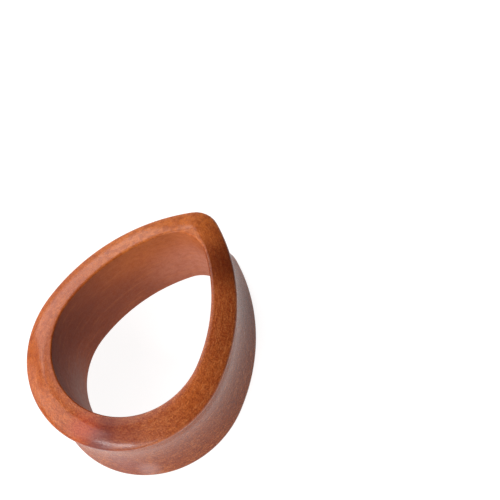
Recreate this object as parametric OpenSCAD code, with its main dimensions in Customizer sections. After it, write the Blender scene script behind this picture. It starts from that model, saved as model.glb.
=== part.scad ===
// Teardrop ear tunnel with two flares, cut and polished from one piece of wood.
// It lies on its back flare. The hole runs along Z, and the tip of the drop points to +Y.
// The outlines of the hole and of the flares are drops of four arcs that run smoothly into
// each other: a round bottom, two long flanks and a small round tip.

/* [Hole] */
// Radius of the hole's round bottom, half the width of the hole
hole_r = 8; // [7.6:0.2:8.2]
// Distance from the centre of the hole's bottom arc to the centre of its tip arc
hole_rise = 9.4; // [9:0.4:9.8]
// Radius of the hole's long flanks
hole_side_r = 18.7; // [17.4:1.3:20]
// Radius of the hole's tip
hole_tip_r = 3.5; // [3.3:0.1:3.6]
// Radius that eases the hole's two edges
hole_ease = 0.45; // [0.35:0.05:0.5]

/* [Flares] */
// Radius of the flares' round bottom, half the width of the whole tunnel
flare_r = 10.75; // [10.75:0.15:11.2]
// Distance from the centre of the flares' bottom arc to the centre of their tip arc
flare_rise = 13.8; // [13.8:0.4:14.2]
// Radius of the flares' long flanks
flare_side_r = 20.6; // [19.2:1.4:22]
// Radius of the flares' tip
flare_tip_r = 2.8; // [2.8:0.1:3]
// How far the centre of the flares' bottom arc lies below that of the hole
flare_lower = 0.55; // [0.4:0.15:0.7]

/* [Wall] */
// Length of the tunnel from face to face
length = 12; // [10:1:14]
// How far the widest line of a flare lies below its face
crown = 1.1; // [1:0.05:1.15]
// Slope of a face in degrees where it leaves the narrow flat land round the hole
inner_slope = 14; // [12:1:15]
// Slope of a face in degrees where it runs into the rounded edge
outer_slope = 30; // [29:1:33]
// Radius of the rounded edge at the widest line
edge_r = 0.4; // [0.35:0.05:0.5]
// Depth of the waist below the flares, where the lobe sits
waist = 1.05; // [0.9:0.15:1.2]

/* [Hidden] */
$fn = 144;

// Degrees between two points of a rounded section, and the fewest flats that an arc is drawn with
STEP = 9;
FEWEST = 3;
// Degrees that the two turns of one flank overlap by, and that the end turns run past the middle
SPARE_TURN = 10;
// How far past the faces the hole is cut
PAST = 1;
// Slope in degrees at which an eased edge of the hole meets the flat land
EASE_CROSS = 22.5;
// How far in from its outline the wall is drawn before the hole is cut
WALL_REACH = 4.2;
// How far in from its outline the cut is drawn
CUT_REACH = 3.2;

// The box round the whole tunnel is centred on Y, so the arcs are placed from its middle
whole_height = flare_r + flare_rise + flare_tip_r;
flare_y = flare_r - whole_height / 2;
hole_y = flare_y + flare_lower;

// Height of the widest line, and the slightly domed arc of the face, which falls from the
// land to the rounded edge. Its centre lies in from the widest line by centre_in.
edge_z = length - crown;
face_r = (crown - edge_r * cos(outer_slope)) / (cos(inner_slope) - cos(outer_slope));
centre_in = edge_r + (face_r - edge_r) * sin(outer_slope);
centre_z = edge_z - (face_r - edge_r) * cos(outer_slope);

// The hollow arc of the waist, which meets both rounded edges without a corner
waist_half = edge_z - length / 2;
waist_r = (waist_half * waist_half + pow(edge_r - waist, 2) - edge_r * edge_r) / (2 * waist);
waist_turn = asin(waist_half / (waist_r + edge_r));

// A number to the nearest micron, so that sections swept round different arcs are the same
function snap(n) = round(n * 1000) / 1000;

// Points of an arc about [x, z], the angles counted from +Z towards +X
function arc(x, z, r, from, to) =
    let (count = max(FEWEST, ceil(abs(to - from) / STEP)))
    [for (i = [0 : count]) let (a = from + (to - from) * i / count)
        [snap(x + r * sin(a)), snap(z + r * cos(a))]];

// A list without its first point
function rest(points) = [for (i = [1 : len(points) - 1]) points[i]];

// A list in reverse order with its heights turned over, which is the other face's half
function turned_over(points) =
    [for (i = [len(points) - 1 : -1 : 0]) [points[i][0], length - points[i][1]]];

// Outer half of the wall, from the land of the upper face down to the middle of the waist.
// The first number of a point is its distance outwards from the widest line.
upper_half = concat(
    arc(-centre_in, centre_z, face_r, inner_slope, outer_slope),
    rest(arc(-edge_r, edge_z, edge_r, outer_slope, 90)),
    rest(arc(-edge_r, edge_z, edge_r, 90, 90 + waist_turn)),
    rest(arc(waist_r - waist, length / 2, waist_r, waist_turn - 90, -90)));

// Whole section of the wall, drawn in as far as reach
function wall_section(reach) = concat(
    [[-reach, length]], upper_half, rest(turned_over(upper_half)), [[-reach, 0]]);

// Section of the cut that makes the hole, with both of its edges eased.
// The first number of a point is its distance outwards from the wall of the hole.
function cut_section(reach) =
    let (z = hole_ease * cos(EASE_CROSS))
    concat(
        [[-reach, -PAST], [hole_ease, -PAST]],
        arc(hole_ease, z, hole_ease, 180, 270),
        arc(hole_ease, length - z, hole_ease, 270, 360),
        [[hole_ease, length + PAST], [-reach, length + PAST]]);

// Centre of the right-hand flank's arc, with the bottom arc's centre at [0, 0]
function flank_centre(bottom_r, rise, side_r, tip_r) =
    let (y = (rise * rise - pow(side_r - tip_r, 2) + pow(side_r - bottom_r, 2)) / (2 * rise))
    [-sqrt(pow(side_r - bottom_r, 2) - y * y), y];

// A section carried round an arc of radius r about the Z axis
module arc_sweep(r, from, turn, section) {
    rotate_extrude(angle = turn, start = from)
        polygon([for (p = section) [r + p[0], p[1]]]);
}

// Right-hand half of a drop. Two arcs meet on the line through their centres, and both are
// drawn in a frame that has this line as its X axis, so that they share one flat face there.
module half_drop(bottom_r, rise, side_r, tip_r, section, tip_section) {
    flank = flank_centre(bottom_r, rise, side_r, tip_r);
    low = atan2(-flank[1], -flank[0]);
    high = atan2(rise - flank[1], -flank[0]);
    flank_turn = ceil((high - low) / 2) + SPARE_TURN;
    intersection() {
        translate([flank[0], flank[1], 0]) {
            rotate([0, 0, low]) {
                translate([side_r - bottom_r, 0, 0])
                    arc_sweep(bottom_r, 270 - 2 * SPARE_TURN, 90 + 2 * SPARE_TURN, section);
                arc_sweep(side_r, 0, flank_turn, section);
            }
            rotate([0, 0, high]) {
                arc_sweep(side_r, -flank_turn, flank_turn, section);
                translate([side_r - tip_r, 0, 0])
                    arc_sweep(tip_r, 0, 90, tip_section);
            }
        }
        translate([0, -whole_height, -2 * PAST])
            cube([whole_height, 2 * whole_height, length + 4 * PAST]);
    }
}

module half_tunnel() {
    difference() {
        translate([0, flare_y, 0])
            half_drop(flare_r, flare_rise, flare_side_r, flare_tip_r,
                wall_section(WALL_REACH), wall_section(flare_tip_r));
        translate([0, hole_y, 0])
            half_drop(hole_r, hole_rise, hole_side_r, hole_tip_r,
                cut_section(CUT_REACH), cut_section(hole_tip_r));
    }
}

module tunnel() {
    color("sienna") {
        half_tunnel();
        mirror([1, 0, 0])
            half_tunnel();
    }
}

tunnel();
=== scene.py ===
# %% [markdown]
# A drop-shaped ear tunnel, carved from one piece of red-brown wood
# The real object is a short, hollow plug for a stretched ear lobe. It has a flare at each end,
# a waist in between, and a hole in the shape of a drop. It is one piece of wood, shaped on a
# sander and polished to a satin shine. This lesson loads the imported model, models the same
# shape again with smooth rounded surfaces, makes the wood, and sets up the light and camera.

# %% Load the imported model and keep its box
import math

import bmesh
import bpy
from mathutils import Matrix, Vector


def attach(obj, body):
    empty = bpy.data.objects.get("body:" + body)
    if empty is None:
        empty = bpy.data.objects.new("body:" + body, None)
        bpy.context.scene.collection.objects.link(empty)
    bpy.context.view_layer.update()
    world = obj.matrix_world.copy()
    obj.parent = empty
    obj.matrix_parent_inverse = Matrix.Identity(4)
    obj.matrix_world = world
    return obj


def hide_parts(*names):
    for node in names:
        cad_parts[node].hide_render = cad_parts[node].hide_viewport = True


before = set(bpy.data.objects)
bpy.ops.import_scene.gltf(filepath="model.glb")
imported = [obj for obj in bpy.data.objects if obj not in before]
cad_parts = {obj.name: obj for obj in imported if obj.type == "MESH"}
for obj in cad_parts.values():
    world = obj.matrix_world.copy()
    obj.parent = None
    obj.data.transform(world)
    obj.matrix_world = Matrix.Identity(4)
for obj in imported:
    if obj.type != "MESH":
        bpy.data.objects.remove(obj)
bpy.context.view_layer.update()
print("nodes:", sorted(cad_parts))

# %% [markdown]
# The sizes are those of the solid model, in millimetres, so that the piece fills the same
# space. Blender counts in metres, so the finished mesh is made a thousand times smaller.
# A drop is four arcs that run into each other without a corner: a round bottom, two long
# flanks and a small tip. The hole and the flares are two different drops, so the wall is
# thicker at the tip and at the bottom than at the sides. EASE_R eases the hole's two edges.
# The steps say how many faces go round the bottom, the flank and the tip. Their sum is the same
# for both drops, and they are shared out so that points on the two drops lie side by side.

# %% The sizes of the tunnel
MM = 0.001
LENGTH = 12.0
CROWN = 1.1
INNER_SLOPE = math.radians(14)
OUTER_SLOPE = math.radians(30)
EDGE_R = 0.4
WAIST = 1.05
EASE_R = 0.22
HOLE = {"bottom_r": 8.0, "rise": 9.4, "side_r": 18.7, "tip_r": 3.5, "y": -2.375,
        "steps": (52, 58, 16)}
FLARE = {"bottom_r": 10.75, "rise": 13.8, "side_r": 20.6, "tip_r": 2.8, "y": -2.925,
         "steps": (50, 73, 3)}


def flank(drop):
    """Centre of the right-hand flank, and the directions in which it meets bottom and tip."""
    to_tip = drop["side_r"] - drop["tip_r"]
    to_bottom = drop["side_r"] - drop["bottom_r"]
    up = (drop["rise"] ** 2 - to_tip ** 2 + to_bottom ** 2) / (2 * drop["rise"])
    left = math.sqrt(to_bottom ** 2 - up ** 2)
    low = math.atan2(-up, left)
    high = math.atan2(drop["rise"] - up, left)
    return Vector((-left, drop["y"] + up, 0)), low, high


def drop_arcs(drop):
    """Centre and turn of the three arcs of the right-hand half, from the bottom to the tip."""
    side, low, high = flank(drop)
    bottom = Vector((0, drop["y"], 0))
    tip = Vector((0, drop["y"] + drop["rise"], 0))
    quarter = math.pi / 2
    return [(bottom, quarter + low), (side, high - low), (tip, quarter - high)]


for name, drop in (("hole", HOLE), ("flare", FLARE)):
    print(name, "turns", [round(math.degrees(turn), 1) for centre, turn in drop_arcs(drop)])

# %% [markdown]
# The wall could be drawn as a list of points, but every rounding on it is an arc, and spin
# draws an arc from one single point. So a section starts as one vertex, which is spun about
# one centre after the other. The outer section starts at the land, runs over the domed face
# and round the edge, and goes down the hollow waist to half the length. The inner section is
# one eased edge of the hole and the wall below it. Both stand at the bottom of the drop, where
# outwards is -Y.

# %% Draw a section by spinning one point
SECTION_AXIS = (1, 0, 0)
FACE_STEPS = 16
EDGE_STEPS = 12
WAIST_STEPS = 14
EASE_STEPS = 8
WALL_STEPS = 10


def turn_about(bm, geom, centre, axis, turn, steps):
    """Spins the geometry about an axis and returns the end of it."""
    spun = bmesh.ops.spin(bm, geom=geom, cent=centre, axis=axis, angle=turn, steps=steps)
    return spun["geom_last"]


def only_verts(geom):
    return [item for item in geom if isinstance(item, bmesh.types.BMVert)]


def outer_section(bm):
    """Half a wall section, from the land on the upper face down to the middle of the waist."""
    outline = FLARE["y"] - FLARE["bottom_r"]
    edge_z = LENGTH - CROWN
    face_r = (CROWN - EDGE_R * math.cos(OUTER_SLOPE)) / (math.cos(INNER_SLOPE) - math.cos(OUTER_SLOPE))
    face_y = outline + EDGE_R + (face_r - EDGE_R) * math.sin(OUTER_SLOPE)
    face_z = edge_z - (face_r - EDGE_R) * math.cos(OUTER_SLOPE)
    half = edge_z - LENGTH / 2
    waist_r = (half ** 2 + (EDGE_R - WAIST) ** 2 - EDGE_R ** 2) / (2 * WAIST)
    waist_turn = math.asin(half / (waist_r + EDGE_R))
    end = [bm.verts.new((0, face_y - face_r * math.sin(INNER_SLOPE), LENGTH))]
    end = turn_about(bm, end, (0, face_y, face_z), SECTION_AXIS,
                     OUTER_SLOPE - INNER_SLOPE, FACE_STEPS)
    end = turn_about(bm, only_verts(end), (0, outline + EDGE_R, edge_z), SECTION_AXIS,
                     math.pi / 2 + waist_turn - OUTER_SLOPE, EDGE_STEPS)
    turn_about(bm, only_verts(end), (0, outline + WAIST - waist_r, LENGTH / 2), SECTION_AXIS,
               -waist_turn, WAIST_STEPS)


def inner_section(bm):
    """Half a section of the hole's wall, from the upper face down to half its length."""
    outline = HOLE["y"] - HOLE["bottom_r"]
    end = [bm.verts.new((0, outline - EASE_R, LENGTH))]
    end = turn_about(bm, end, (0, outline - EASE_R, LENGTH - EASE_R), SECTION_AXIS,
                     -math.pi / 2, EASE_STEPS)
    low = only_verts(end)
    step = (EASE_R - LENGTH / 2) / WALL_STEPS
    for _ in range(WALL_STEPS):
        made = bmesh.ops.extrude_vert_indiv(bm, verts=low)
        low = made["verts"]
        bmesh.ops.translate(bm, vec=(0, 0, step), verts=low)


# %% [markdown]
# A real carver follows the drop's outline with the sander. Spin does the same: it carries the
# section round the bottom arc, then round the flank and the tip, each time from where it
# stopped. The lower half of the section and the left half of the drop are mirror images, and
# mirror welds them to the first half. The two drops differ, so the flat land between them is
# widest at the bottom, narrow at the sides and almost nothing beside the tip. bridge_loops
# closes it from edge to edge, and the bridge is cut into narrow rows for the next step.

# %% Carry both sections round the drop and close the lands
WELD = 0.0005
LAND_CUTS = 4


def mirrored(bm, axis, centre):
    """Adds the mirror image across a plane and welds the two halves there."""
    place = Matrix.Translation(-Vector(centre))
    geom = bm.verts[:] + bm.edges[:] + bm.faces[:]
    bmesh.ops.mirror(bm, geom=geom, matrix=place, merge_dist=WELD, axis=axis)
    bmesh.ops.remove_doubles(bm, verts=bm.verts[:], dist=WELD)


def add_skin(bm, draw_section, drop):
    """Draws a section, completes it and carries it all round a drop."""
    skin = bmesh.new()
    draw_section(skin)
    mirrored(skin, "Z", (0, 0, LENGTH / 2))
    end = skin.verts[:] + skin.edges[:]
    for (centre, turn), steps in zip(drop_arcs(drop), drop["steps"]):
        end = turn_about(skin, end, centre, (0, 0, 1), turn, steps)
    mirrored(skin, "X", (0, 0, 0))
    part = bpy.data.meshes.new("skin")
    skin.to_mesh(part)
    skin.free()
    bm.from_mesh(part)
    bpy.data.meshes.remove(part)


shape = bmesh.new()
add_skin(shape, outer_section, FLARE)
add_skin(shape, inner_section, HOLE)
for height in (0, LENGTH):
    rims = [edge for edge in shape.edges if edge.is_boundary
            and all(abs(vert.co.z - height) < WELD for vert in edge.verts)]
    bridge = bmesh.ops.bridge_loops(shape, edges=rims)
    bmesh.ops.subdivide_edges(shape, edges=bridge["edges"], cuts=LAND_CUTS, use_grid_fill=True)
print("faces after closing", len(shape.faces))

# %% [markdown]
# The place of a point on a drop is worked out from its arcs: how far along the outline it
# lies, and how far inside. This is needed twice. Here it picks the points to be sanded, and
# later it guides the marks of sanding and polishing, which run along the drop.

# %% Where a point lies on a drop
def path_place(point, drop):
    """Distance along the drop's outline from the bottom, and distance in from it."""
    side, low, high = flank(drop)
    (bottom, bottom_turn), _, (tip, _) = drop_arcs(drop)
    here = Vector((abs(point.x), point.y, 0))
    from_side = here - side
    angle = math.atan2(from_side.y, from_side.x)
    along_bottom = drop["bottom_r"] * bottom_turn
    if angle < low:
        arm = here - bottom
        turned = math.atan2(arm.x, -arm.y)
        return drop["bottom_r"] * turned, drop["bottom_r"] - arm.length
    if angle < high:
        return along_bottom + drop["side_r"] * (angle - low), drop["side_r"] - from_side.length
    arm = here - tip
    turned = math.atan2(arm.y, arm.x) - high
    along = along_bottom + drop["side_r"] * (high - low) + drop["tip_r"] * turned
    return along, drop["tip_r"] - arm.length


# %% [markdown]
# Where the domed face leaves the land there is a sharp crease, which no hand-sanded ring has.
# smooth_vert is the sandpaper: it moves the heights of the points on the land and of those
# beside it a little towards their neighbours, and this is done many times. The hole's eased
# edges and a rim of 0.15 mm beside them stay as they are, so that the ring keeps its length
# and the land stays flat where it is narrowest.

# %% Sand over the crease
SANDED_DEPTH = 0.5
KEPT_RIM = 0.15
SANDING_PASSES = 24
SANDING_FACTOR = 0.5
sanded = [vert for vert in shape.verts
          if abs(vert.co.z - LENGTH / 2) > LENGTH / 2 - SANDED_DEPTH
          and path_place(vert.co, HOLE)[1] < -EASE_R - KEPT_RIM]
for _ in range(SANDING_PASSES):
    bmesh.ops.smooth_vert(shape, verts=sanded, factor=SANDING_FACTOR, use_axis_z=True)
print("sanded points", len(sanded))

# %% [markdown]
# Spin, mirror and bridge each make faces in their own order, so the normals are worked out
# afresh before the shape is used. The prints show that nothing is open, and that the volume is
# positive, which it is when the faces look outwards.

# %% Turn all faces outwards and shade them smooth
bmesh.ops.recalc_face_normals(shape, faces=shape.faces[:])
for face in shape.faces:
    face.smooth = True
open_edges = [edge for edge in shape.edges if not edge.is_manifold]
print("faces", len(shape.faces), "open edges", len(open_edges))
print("volume mm3", round(shape.calc_volume(signed=True), 1))

# %% [markdown]
# The marks of sanding and polishing are a pattern in the material, which can't work out a
# point's place on the drop by itself. So the places on the flares' outline are stored in the
# mesh as an attribute, with the height as the third number, and the material reads it.

# %% Store how far along the drop and how far in each point lies
PATH = "drop_path"
places = [(*path_place(vert.co, FLARE), vert.co.z) for vert in shape.verts]
bmesh.ops.scale(shape, vec=(MM, MM, MM), verts=shape.verts[:])
tunnel_mesh = bpy.data.meshes.new("wood_tunnel")
shape.to_mesh(tunnel_mesh)
shape.free()
path = tunnel_mesh.attributes.new(PATH, "FLOAT_VECTOR", "POINT")
path.data.foreach_set("vector", [number for place in places for number in place])
tunnel = bpy.data.objects.new("wood_tunnel", tunnel_mesh)
bpy.context.scene.collection.objects.link(tunnel)
print("longest way round, mm", round(max(place[0] for place in places), 1))

# %% [markdown]
# The wood is dense and fine-grained. Its colour wanders between orange-brown and a darker
# red-brown in soft patches, it is full of tiny pores and short fibres, and polishing left
# faint lines. Each of these is a noise at its own scale, on Object coordinates in
# millimetres, or on the stored path where the marks follow the drop.

# %% Helpers for the wood's nodes
wood = bpy.data.materials.new("red_brown_wood")
wood.use_nodes = True
tree = wood.node_tree
tree.nodes.clear()


def node(kind, **settings):
    """A new shader node with the given properties and inputs."""
    made = tree.nodes.new(kind)
    for key, value in settings.items():
        if hasattr(made, key):
            setattr(made, key, value)
        else:
            made.inputs[key.replace("_", " ")].default_value = value
    return made


def join(source, target):
    tree.links.new(source, target)


def stretched(source, scale):
    """The coordinates, scaled by a different number along each axis."""
    scaled = node("ShaderNodeVectorMath", operation="MULTIPLY")
    join(source, scaled.inputs[0])
    scaled.inputs[1].default_value = scale
    return scaled.outputs[0]


def noise(source, scale, detail, roughness=0.5, distortion=0.0, fourth=None):
    """A noise on the coordinates, with a mean of about 0.5."""
    made = node("ShaderNodeTexNoise", Scale=scale, Detail=detail, Roughness=roughness,
                Distortion=distortion)
    if fourth is not None:
        made.noise_dimensions = "4D"
        join(fourth, made.inputs["W"])
    join(source, made.inputs["Vector"])
    return made.outputs[0]


def between(source, low, high, to_low=0.0, to_high=1.0):
    """The value, spread smoothly from a range onto another one."""
    spread = node("ShaderNodeMapRange", interpolation_type="SMOOTHSTEP")
    join(source, spread.inputs["Value"])
    for key, value in (("From Min", low), ("From Max", high), ("To Min", to_low), ("To Max", to_high)):
        spread.inputs[key].default_value = value
    return spread.outputs["Result"]


def feed(value, socket):
    """Gives a socket its value, which is a number or colour, or another socket."""
    if isinstance(value, bpy.types.NodeSocket):
        join(value, socket)
    else:
        socket.default_value = value


def mixed(first, second, share):
    """Two colours, mixed by a share that is a number or a socket."""
    mix = node("ShaderNodeMix", data_type="RGBA")
    for value, key in ((first, "A_Color"), (second, "B_Color"), (share, "Factor_Float")):
        feed(value, next(socket for socket in mix.inputs if socket.identifier == key))
    return next(socket for socket in mix.outputs if socket.identifier == "Result_Color")


def worked_out(operation, *values):
    """The result of a Math node on numbers or sockets."""
    made = node("ShaderNodeMath", operation=operation)
    for value, socket in zip(values, made.inputs):
        feed(value, socket)
    return made.outputs[0]


def plus(first, second):
    return worked_out("ADD", first, second)


def minus(first, second):
    return worked_out("SUBTRACT", first, second)


def times(first, second):
    return worked_out("MULTIPLY", first, second)


# %% Coordinates in millimetres, and along the drop
SIDE_SHIFT = 0.35
coordinates = node("ShaderNodeTexCoord")
in_mm = stretched(coordinates.outputs["Object"], (1000, 1000, 1000))
in_xyz = node("ShaderNodeSeparateXYZ")
join(in_mm, in_xyz.inputs[0])
on_path = node("ShaderNodeAttribute", attribute_name=PATH).outputs["Vector"]
along_in_up = node("ShaderNodeSeparateXYZ")
join(on_path, along_in_up.inputs[0])
inset = along_in_up.outputs["Y"]
height = along_in_up.outputs["Z"]
side_shift = times(in_xyz.outputs["X"], SIDE_SHIFT)

# %% [markdown]
# The wall of the hole is only sanded, while the outside is polished, and the waist is painted a
# darker brown than the faces, as painted shade. Two masks tell these apart by how far in a point
# lies and how high. In the hole the speckle and the relief are weaker, the surface is rougher and
# the wax is thin. The wax is thickest in the waist. The hole has a brown of its own, and the waist
# has a darker brown of painted shade. Each pair of numbers says between which two places a mask
# changes, in millimetres.

# %% Masks of the hole's wall and of the waist
WALL_INSET = (1.5, 2.0)
FACE_FROM_MIDDLE = (5.75, 5.95)
WAIST_INSET = (1.2, 1.5)
WAIST_TOP = (9.4, 10.6)
SPECKLE_LOST_IN_HOLE = 0.6
WAX = 0.40
MORE_WAX_IN_WAIST = 0.05
LESS_WAX_IN_HOLE = 0.36
from_middle = worked_out("ABSOLUTE", minus(height, LENGTH / 2))
in_hole = times(between(inset, *WALL_INSET),
                between(from_middle, *FACE_FROM_MIDDLE, to_low=1.0, to_high=0.0))
# The waist's mask carries both its painted shade and its thicker wax.
waist_shade_and_wax = times(between(inset, *WAIST_INSET, to_low=1.0, to_high=0.0),
                 between(height, *WAIST_TOP, to_low=1.0, to_high=0.0))
outside = minus(1.0, times(in_hole, SPECKLE_LOST_IN_HOLE))
waxed = plus(times(waist_shade_and_wax, MORE_WAX_IN_WAIST), WAX)
waxed = minus(waxed, times(in_hole, LESS_WAX_IN_HOLE))
print("nodes for the masks", len(tree.nodes))

# %% [markdown]
# Now the colour. The first table paints light and shade onto the wood: brighter on the upper
# left of the rim and at the tip, darker at the lower end of the rim and on the right side, paler
# on the hole's wall at the tip, and a grey-mauve painted sheen low on the left. It has a row for
# each place: the new colour, the place, how far the change reaches, and the colour's share in
# its middle. The second table is of the same kind: the dark side of the tip, the purple stain at
# the lower end with its pale surroundings, a mark on the waist, a painted reflection low on the
# waist, and painted shade on the waist at the right.

# %% Colours and places of the wood
ORANGE_BROWN = (0.44, 0.098, 0.020, 1)
RED_BROWN = (0.28, 0.046, 0.010, 1)
DARK_PORE = (0.07, 0.010, 0.004, 1)
PALE_FIBRE = (0.62, 0.20, 0.060, 1)
# The waist's brown is painted shade: it draws the waist darker than the faces.
WAIST_PAINTED_SHADE = (0.16, 0.024, 0.007, 1)
HOLE_BROWN = (0.22, 0.072, 0.046, 1)
# Columns of both tables: red, green, blue, place (mm), reach (mm), share
# Painted light and shade, in patches on the wood.
PAINTED_LIGHT_AND_SHADE = [
    # Painted light: brighter on the upper left of the rim.
    (0.68, 0.190, 0.036, (-5.0, 8.0, 12.0), 10.0, 0.50),
    # Painted light: brighter at the tip.
    (0.66, 0.175, 0.036, (0.0, 12.4, 11.6), 4.5, 0.40),
    # Painted shade and sheen: darker and pinker at the lower end of the rim.
    (0.36, 0.110, 0.055, (6.0, -9.5, 11.8), 6.0, 0.60),
    # Painted shade: darker on the right side.
    (0.15, 0.020, 0.004, (8.5, 3.5, 10.5), 7.5, 0.36),
    # Painted light: paler on the hole's wall at the tip.
    (0.62, 0.240, 0.145, (-1.5, 10.0, 4.0), 7.0, 0.65),
    # Painted sheen: grey-mauve low on the left.
    (0.32, 0.200, 0.170, (-5.4, -8.6, 2.5), 6.5, 0.75),
]
# Stains, with a painted reflection and a painted shade on the waist.
STAINS_AND_PAINTED_LIGHT = [
    (0.07, 0.004, 0.001, (5.0, 9.4, 11.5), 4.2, 0.66),
    (0.06, 0.003, 0.014, (2.9, -11.4, 11.9), 2.2, 0.50),
    (0.12, 0.010, 0.012, (4.0, -11.0, 11.8), 4.4, 0.38),
    (0.40, 0.040, 0.030, (0.9, -12.3, 11.8), 2.6, 0.40),
    (0.14, 0.045, 0.048, (2.8, -13.0, 10.9), 2.2, 0.65),
    (0.20, 0.050, 0.050, (3.2, -12.5, 2.8), 3.0, 0.40),
    # Painted reflection: a pale spot low on the waist.
    (0.60, 0.400, 0.380, (5.4, -11.8, 2.0), 1.8, 0.26),
    # Painted shade: darker on the waist at the right, towards the tip.
    (0.10, 0.012, 0.003, (6.0, 9.0, 3.0), 6.0, 0.40),
]
FULL_SHARE_OF_REACH = 0.15


def near(place, reach):
    """One at a place in millimetres, and falling softly to nothing at its reach."""
    gap = node("ShaderNodeVectorMath", operation="DISTANCE")
    join(in_mm, gap.inputs[0])
    gap.inputs[1].default_value = place
    return between(gap.outputs["Value"], FULL_SHARE_OF_REACH * reach, reach, to_low=1.0, to_high=0.0)


def patched(base, patches):
    """The colour with soft patches, each a row of one of the tables."""
    for red, green, blue, place, reach, share in patches:
        base = mixed(base, (red, green, blue, 1), times(near(place, reach), share))
    return base


# Counts the rows of painted light and shade, and of the stains with their painted reflection and
# shade.
print("places of growth", len(PAINTED_LIGHT_AND_SHADE), "and stains", len(STAINS_AND_PAINTED_LIGHT))

# %% [markdown]
# The ground colour is laid on like coats of stain. Broad patches mix an orange-brown with a
# red-brown, and the hole's brown and the painted light and shade come over them. Long pale bands
# follow the drop. A mottling of half a millimetre and the waist's painted shade come last. A noise
# lies between about 0.3 and 0.7, and between() says which part of it counts and how much.

# %% The ground colour
# Stretch of the noises per millimetre: along the drop, in from its outline, and up
PATCH_STRETCH = (0.13, 0.45, 0.25)
BAND_STRETCH = (0.25, 3.0, 2.0)
MOTTLE_SCALE = 1.6
RED_SHARE = 0.50
HOLE_SHARE = 0.60
BAND_SHARE = 0.25
MOTTLE_SHARE = 0.60
WAIST_SHADE_SHARE = 0.52
patches = noise(stretched(on_path, PATCH_STRETCH), 1.0, detail=2, distortion=0.3, fourth=side_shift)
colour = mixed(ORANGE_BROWN, RED_BROWN, times(between(patches, 0.38, 0.66), RED_SHARE))
colour = mixed(colour, HOLE_BROWN, times(in_hole, HOLE_SHARE))
# Patches of painted light and shade.
colour = patched(colour, PAINTED_LIGHT_AND_SHADE)
band = noise(stretched(on_path, BAND_STRETCH), 1.0, detail=2, distortion=0.2, fourth=side_shift)
colour = mixed(colour, PALE_FIBRE, between(band, 0.50, 0.75, to_high=BAND_SHARE))
mottle = noise(in_mm, MOTTLE_SCALE, detail=4, roughness=0.6)
colour = mixed(colour, RED_BROWN, times(between(mottle, 0.40, 0.66, to_high=MOTTLE_SHARE), outside))
# Painted shade: the waist is darkened.
colour = mixed(colour, WAIST_PAINTED_SHADE, times(waist_shade_and_wax, WAIST_SHADE_SHARE))
print("nodes for the ground colour", len(tree.nodes))

# %% [markdown]
# The speckle is made of short fibres along the drop and of pores, which are little more than
# dots, with paler wood between them. It is stronger towards the right and the bottom, where
# the fibres end in the surface. The stains, with a painted reflection and a painted shade on the
# waist, lie over all of this.

# %% Fibres, pores, stains, and a painted reflection and shade
FIBRE_STRETCH = (1.3, 6.5, 6.5)
PORE_SCALE = 6.0
FIBRE_SHARE = 0.50
PORE_SHARE = 0.42
GAP_SHARE = 0.26
FINE_SIDE_SHARE = 0.55
fibre = noise(stretched(on_path, FIBRE_STRETCH), 1.0, detail=2, roughness=0.6, distortion=0.4,
              fourth=side_shift)
pore = noise(in_mm, PORE_SCALE, detail=2, roughness=0.7)
across = minus(in_xyz.outputs["X"], times(in_xyz.outputs["Y"], 0.5))
rough_side = between(across, -9.0, 9.0, to_low=FINE_SIDE_SHARE, to_high=1.0)
pale_fibres = between(fibre, 0.50, 0.70, to_high=FIBRE_SHARE)
dark_pores = between(pore, 0.42, 0.70, to_high=PORE_SHARE)
pale_gaps = between(pore, 0.32, 0.50, to_low=GAP_SHARE, to_high=0.0)
speckle = mixed(colour, PALE_FIBRE, times(pale_fibres, rough_side))
speckle = mixed(speckle, DARK_PORE, times(dark_pores, rough_side))
speckle = mixed(speckle, PALE_FIBRE, times(pale_gaps, rough_side))
# Stains, and the painted reflection and painted shade on the waist.
colour = patched(mixed(colour, speckle, outside), STAINS_AND_PAINTED_LIGHT)
print("nodes for the whole colour", len(tree.nodes))

# %% [markdown]
# The polish is satin: rough enough to blur what it mirrors, with a thin waxed coat that
# catches a sharper light on the rounded edges. The same fibres and pores give a slight
# relief, and broader, fainter waves stand for a surface shaped by hand. The distances of
# both are in metres.

# %% Relief and polish
PORE_DEPTH = 1.5
WAVE_SCALE = 0.5
POLISH_SCALE = 3.0
SMOOTHEST, ROUGHEST = 0.26, 0.40
ROUGHER_IN_HOLE = 0.38
relief = node("ShaderNodeBump", Strength=0.5, Distance=0.00005)
join(times(plus(fibre, times(pore, PORE_DEPTH)), outside), relief.inputs["Height"])
waves = node("ShaderNodeBump", Strength=0.4, Distance=0.00012)
join(noise(in_mm, WAVE_SCALE, detail=2), waves.inputs["Height"])
join(relief.outputs["Normal"], waves.inputs["Normal"])
polish = between(noise(in_mm, POLISH_SCALE, detail=3), 0.3, 0.7, to_low=SMOOTHEST, to_high=ROUGHEST)

surface = node("ShaderNodeBsdfPrincipled", Specular_IOR_Level=0.09, Coat_Roughness=0.16)
join(colour, surface.inputs["Base Color"])
join(plus(polish, times(in_hole, ROUGHER_IN_HOLE)), surface.inputs["Roughness"])
join(waves.outputs["Normal"], surface.inputs["Normal"])
join(waxed, surface.inputs["Coat Weight"])
output = node("ShaderNodeOutputMaterial")
join(surface.outputs[0], output.inputs["Surface"])
tunnel_mesh.materials.append(wood)
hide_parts("tunnel")
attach(tunnel, "root")
print("wood nodes", len(tree.nodes))

# %% [markdown]
# The tunnel lies on plain white paper with a soft glow, like that of a light table, which is
# wide enough for the whole view.

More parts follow.
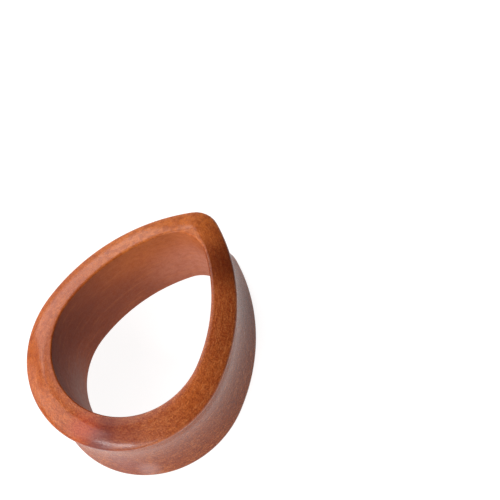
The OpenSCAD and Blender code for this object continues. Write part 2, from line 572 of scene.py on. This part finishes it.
# %% The floor
FLOOR_HALF = 1.5
PAPER_GREY = (0.25, 0.25, 0.25, 1)
PAPER_GLOW = 0.93
floor_shape = bmesh.new()
bmesh.ops.create_grid(floor_shape, x_segments=1, y_segments=1, size=FLOOR_HALF)
floor_mesh = bpy.data.meshes.new("floor")
floor_shape.to_mesh(floor_mesh)
floor_shape.free()
floor = bpy.data.objects.new("floor", floor_mesh)
bpy.context.scene.collection.objects.link(floor)
paper = bpy.data.materials.new("white_paper")
paper.use_nodes = True
paper_surface = paper.node_tree.nodes["Principled BSDF"]
paper_surface.inputs["Base Color"].default_value = PAPER_GREY
paper_surface.inputs["Roughness"].default_value = 0.9
paper_surface.inputs["Specular IOR Level"].default_value = 0.1
paper_surface.inputs["Emission Color"].default_value = (1, 1, 1, 1)
paper_surface.inputs["Emission Strength"].default_value = PAPER_GLOW
floor_mesh.materials.append(paper)
print("floor, m", 2 * FLOOR_HALF)

# %% [markdown]
# The photograph was lit softly from the left and the front. The left lamp lights the rim's left
# side and the hole's wall. The low left and the front left lamp make the soft sheen on the lower
# left edge, and the front lamp shines through the hole onto the wall at the tip. The strip lamp is
# what the rounded edge mirrors as the small gloss at the lower end, and a weak upper lamp gives
# the flat land its faint shine. The glowing paper lights the waist from below. Nothing stands
# on the right, so the rim's right side keeps its deep colour.

# %% Soft studio light
LAMP_DISTANCE = 0.40
TARGET = Vector((0, -1, 6)) * MM
ROOM_LIGHT = 0.03
# Columns: name, azimuth and elevation (degrees), width and height (m), power (W)
LAMPS = [
    ("left_lamp", 163, 36, 0.29, 0.30, 1.18),
    ("low_left_lamp", 206, 20, 0.14, 0.14, 0.12),
    ("front_left_lamp", 225, 45, 0.23, 0.26, 0.64),
    ("front_lamp", 286, 31, 0.26, 0.26, 1.06),
    ("strip_lamp", 270, 47, 0.16, 0.03, 0.30),
    ("upper_lamp", 150, 62, 0.16, 0.16, 0.17),
]


def soft_lamp(name, azimuth, elevation, width, height, power):
    """An area lamp that faces the tunnel, from a row of the table."""
    data = bpy.data.lights.new(name, "AREA")
    data.shape = "RECTANGLE"
    data.size = width
    data.size_y = height
    data.energy = power
    lamp = bpy.data.objects.new(name, data)
    bpy.context.scene.collection.objects.link(lamp)
    around, up = math.radians(azimuth), math.radians(elevation)
    way = Vector((math.cos(up) * math.cos(around), math.cos(up) * math.sin(around), math.sin(up)))
    lamp.location = TARGET + way * LAMP_DISTANCE
    lamp.rotation_euler = way.to_track_quat("Z", "Y").to_euler()


for row in LAMPS:
    soft_lamp(*row)
world = bpy.data.worlds.new("studio")
bpy.context.scene.world = world
world.use_nodes = True
world.node_tree.nodes["Background"].inputs["Color"].default_value = (1, 1, 1, 1)
world.node_tree.nodes["Background"].inputs["Strength"].default_value = ROOM_LIGHT
bpy.context.scene.view_settings.view_transform = "Standard"
print("lamps", [row[0] for row in LAMPS])

# %% [markdown]
# The camera looks down on the tunnel from about 14 cm, as a close-up lens does. Its place and
# turn come from fitting the drop's outlines to the photograph.

# %% Camera
CAMERA_AT = Vector((54.143, -23.277, 130.984)) * MM
RIGHT = (0.852205, 0.484676, -0.197066)
UP = (-0.382363, 0.834027, 0.397741)
BACK = (0.357134, -0.263606, 0.896084)
LENS = 93.05
camera_data = bpy.data.cameras.new("camera")
camera_data.sensor_width = 36
camera_data.lens = LENS
camera_data.clip_start = 0.01
camera = bpy.data.objects.new("camera", camera_data)
turn = Matrix((RIGHT, UP, BACK)).transposed().to_4x4()
camera.matrix_world = Matrix.Translation(CAMERA_AT) @ turn
bpy.context.scene.collection.objects.link(camera)
bpy.context.scene.camera = camera
print("camera's distance, m", round((camera.matrix_world.translation - TARGET).length, 3))
